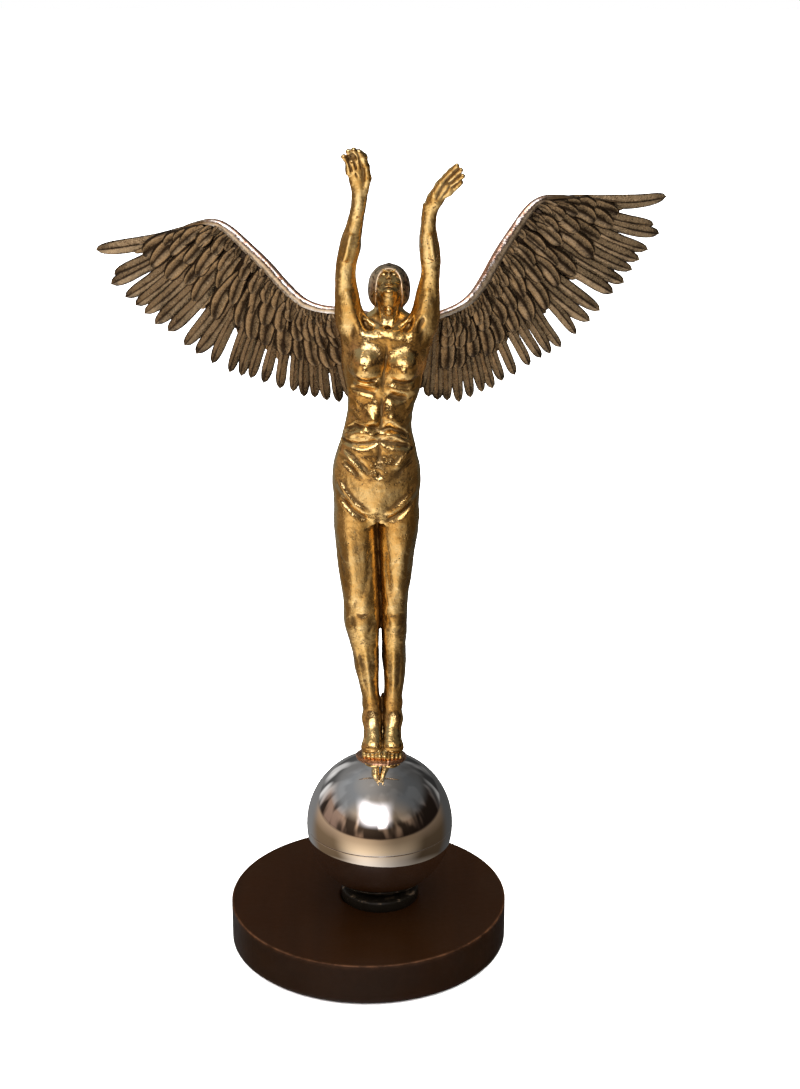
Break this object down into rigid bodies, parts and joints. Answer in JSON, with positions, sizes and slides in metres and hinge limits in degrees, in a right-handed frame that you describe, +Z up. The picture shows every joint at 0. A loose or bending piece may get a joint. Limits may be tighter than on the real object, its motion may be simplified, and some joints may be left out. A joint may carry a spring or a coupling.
{
  "type": "figure trophy",
  "caption": "Winged figure with raised arms and outstretched wings, cast and polished, standing on tiptoe on a mirror ball on a round plinth.",
  "frame": {"origin": "centre of the felt's underside, on the table", "axes": "+Z up the trophy; the figure faces -Y; +X is to the viewer's right when looking at its front"},
  "size_m": [0.4464, 0.228, 0.668],
  "materials": {
    "felt": "black wool felt",
    "plinth_wood": "turned hardwood, dark brown satin lacquer worn to an orange-brown line on the rim",
    "plated_steel": "zinc plated",
    "black_paint": "black satin lacquer worn bright on the edge",
    "mirror_steel": "mirror polished stainless steel",
    "copper_fillet": "coppery brazed surface, lumpy and dull in its hollows",
    "pin_brass": "turned",
    "gold_brass": "polished cast brass, finely pitted, with brown patina in the creases",
    "dark_brass": "dark brown patina, softly polished on the crown",
    "silvered_bar": "bright polished white metal with a pink-copper tone on the outer edge",
    "feather_brass": "dark grey-brown patina brushed back to tan on the ridges"
  },
  "bodies": {
    "root": {"felt_pad": "felt", "plinth": "plinth_wood", "rod_washer": "plated_steel", "rod_nut": "plated_steel", "tie_rod": "plated_steel", "seat_collar": "black_paint", "ball_lower_half": "mirror_steel", "ball_upper_half": "mirror_steel", "ball_backing_ring": "plated_steel", "ball_spacer_tube": "plated_steel", "foot_saddle": "copper_fillet", "foot_pins": "pin_brass", "feet": "gold_brass", "ankle_pins": "pin_brass", "figure_body": "gold_brass", "neck_pin": "pin_brass", "shoulder_pins": "pin_brass", "head": "gold_brass", "hair_cap": "dark_brass", "left_arm": "gold_brass", "right_arm": "gold_brass", "left_wing_spar": "silvered_bar", "left_wing_primaries": "feather_brass", "left_wing_secondaries": "feather_brass", "left_wing_greater_coverts": "feather_brass", "left_wing_lesser_coverts": "feather_brass", "right_wing_spar": "silvered_bar", "right_wing_primaries": "feather_brass", "right_wing_secondaries": "feather_brass", "right_wing_greater_coverts": "feather_brass", "right_wing_lesser_coverts": "feather_brass", "wing_screws": "pin_brass"}
  },
  "joints": []
}
